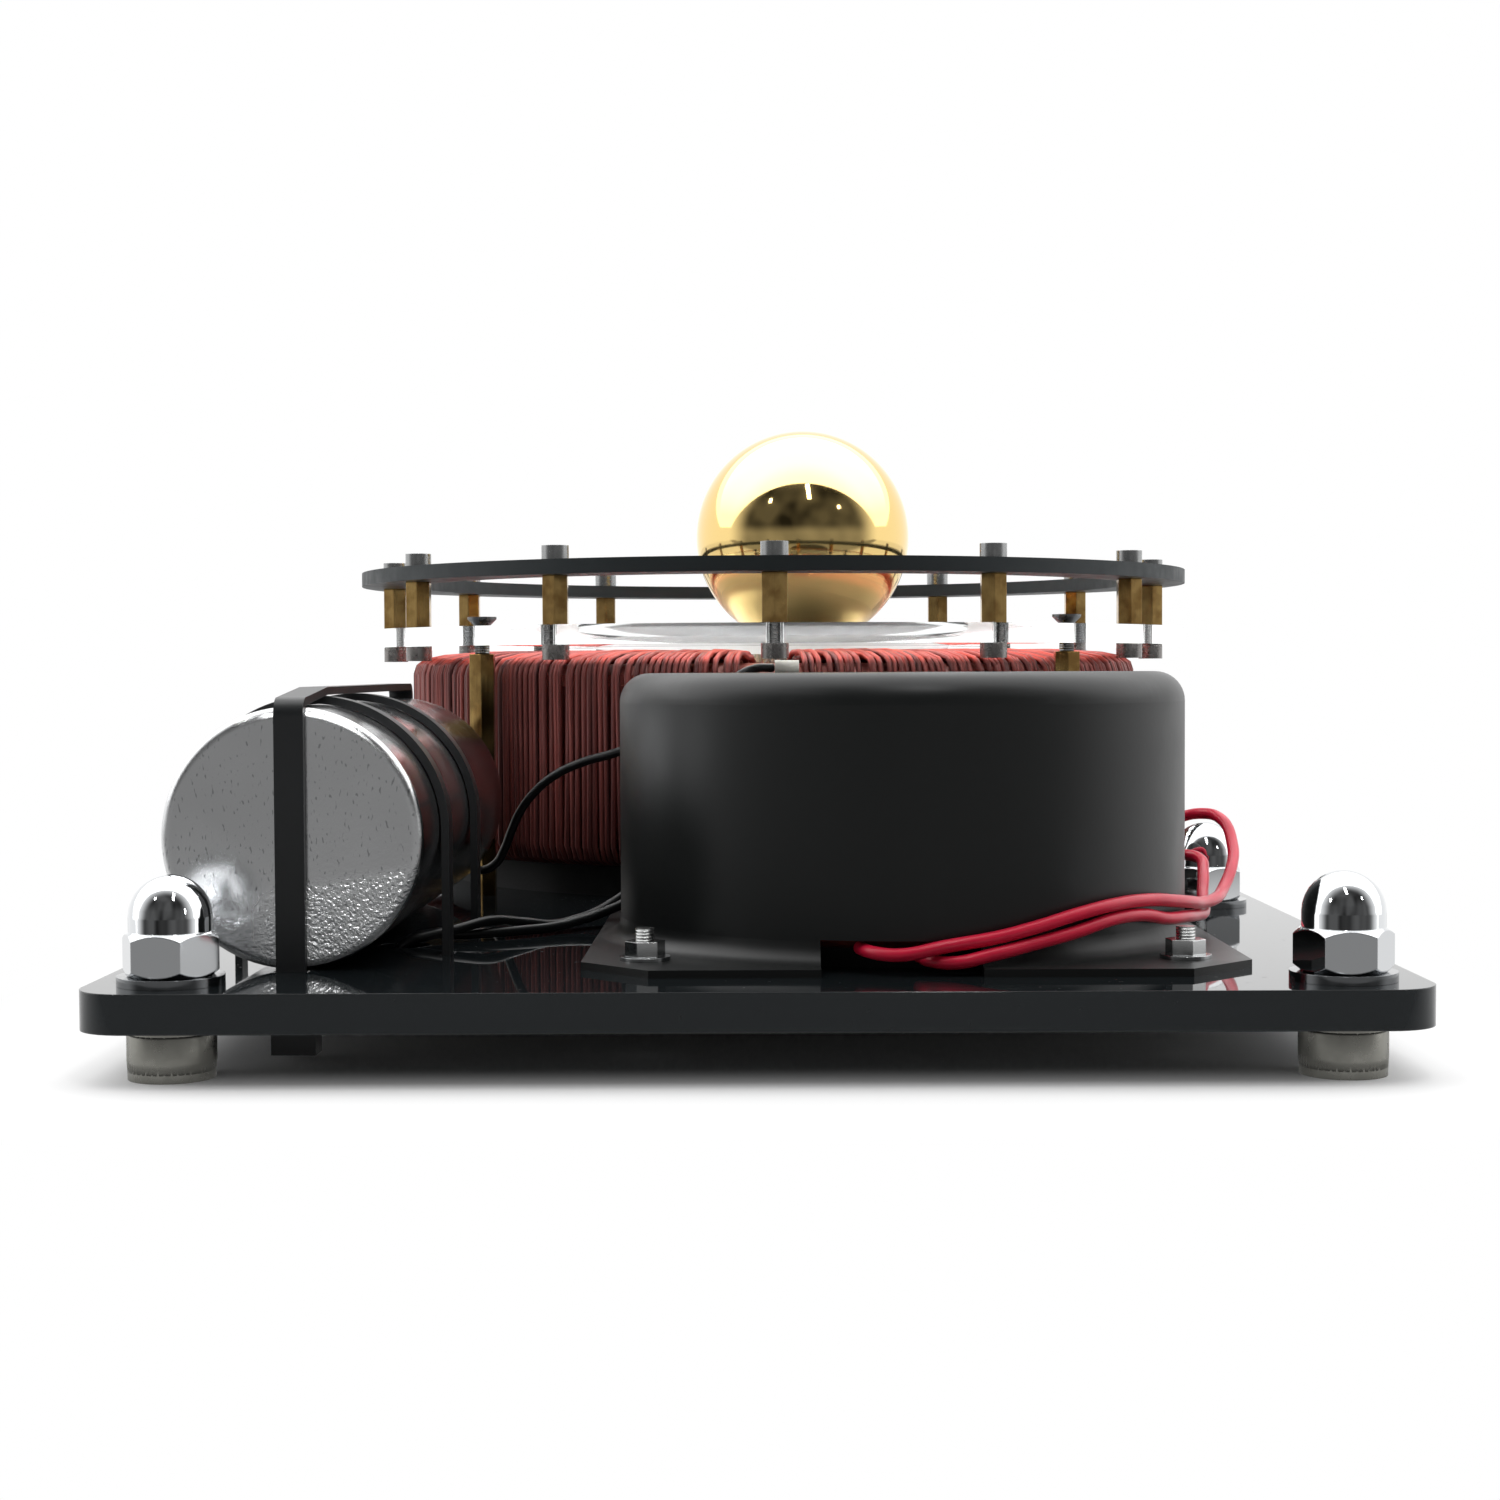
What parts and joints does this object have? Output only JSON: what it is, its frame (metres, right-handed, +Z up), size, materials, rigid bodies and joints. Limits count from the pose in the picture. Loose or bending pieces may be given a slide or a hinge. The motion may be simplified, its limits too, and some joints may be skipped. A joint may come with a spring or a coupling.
{
  "type": "eddy current demonstration coil",
  "caption": "Bench apparatus in which a toroidal coil under a clear dished stage spins a hollow brass ball inside a fence ring, with a covered transformer and a capacitor on a base.",
  "frame": {"origin": "on the floor, under the middle of the base", "axes": "+Z up, -Y towards the front with the transformer and the capacitor, +X to the right seen from the front"},
  "size_m": [0.2, 0.31, 0.1159],
  "materials": {
    "black_acrylic": "polished black acrylic sheet",
    "stainless": "bright machined stainless steel",
    "chrome": "polished chrome plate",
    "foam": "black foam rubber",
    "iron": "wound iron strip",
    "wrap": "varnished insulating tape",
    "copper_wire": "red enamelled copper wire",
    "sleeve": "white insulating sleeve",
    "dull_brass": "machined brass, slightly tarnished",
    "bright_brass": "mirror polished brass",
    "clear_acrylic": "clear polished acrylic",
    "powder_coat": "satin black powder coat",
    "can_metal": "bright grey metal with a spangled end",
    "film_roll": "metallised film",
    "phenolic": "brown phenolic board",
    "tinned": "tinned tab",
    "nylon": "black nylon",
    "red_pvc": "red lead insulation",
    "black_pvc": "black lead insulation"
  },
  "bodies": {
    "apparatus": {"base_plate": "black_acrylic", "foot_bolts": "stainless", "foot_washers": "chrome", "dome_nuts": "chrome", "coil_pad": "foam", "coil_core": "iron", "core_wrap": "wrap", "coil_turns": "copper_wire", "coil_winding": "copper_wire", "coil_sleeves": "sleeve", "stage_pillars": "dull_brass", "pillar_base_screws": "stainless", "pillar_top_screws": "stainless", "stage_plate": "clear_acrylic", "fence_posts_group": "dull_brass", "fence_lower_screws": "stainless", "fence_upper_screws": "stainless", "fence_ring": "black_acrylic", "transformer_cover": "powder_coat", "transformer_core": "iron", "transformer_winding": "copper_wire", "transformer_lower_pad": "foam", "transformer_upper_pad": "foam", "cover_bolts": "stainless", "cover_washers": "chrome", "cover_nuts": "stainless", "capacitor_can": "can_metal", "capacitor_roll": "film_roll", "capacitor_end_disc": "phenolic", "capacitor_tabs": "tinned", "tie_lengthwise": "nylon", "tie_round_front": "nylon", "tie_round_rear": "nylon", "red_lead_long": "red_pvc", "red_lead_short": "red_pvc", "black_lead_coil": "black_pvc", "black_lead_left": "black_pvc", "black_lead_right": "black_pvc"},
    "ball": {"brass_ball": "bright_brass"}
  },
  "joints": [
    {"name": "ball_spin", "type": "hinge", "parent": "apparatus", "child": "ball", "pos_m": [0.0105, 0.05785, 0.0912], "axis": [0, 0, 1], "continuous": true}
  ]
}
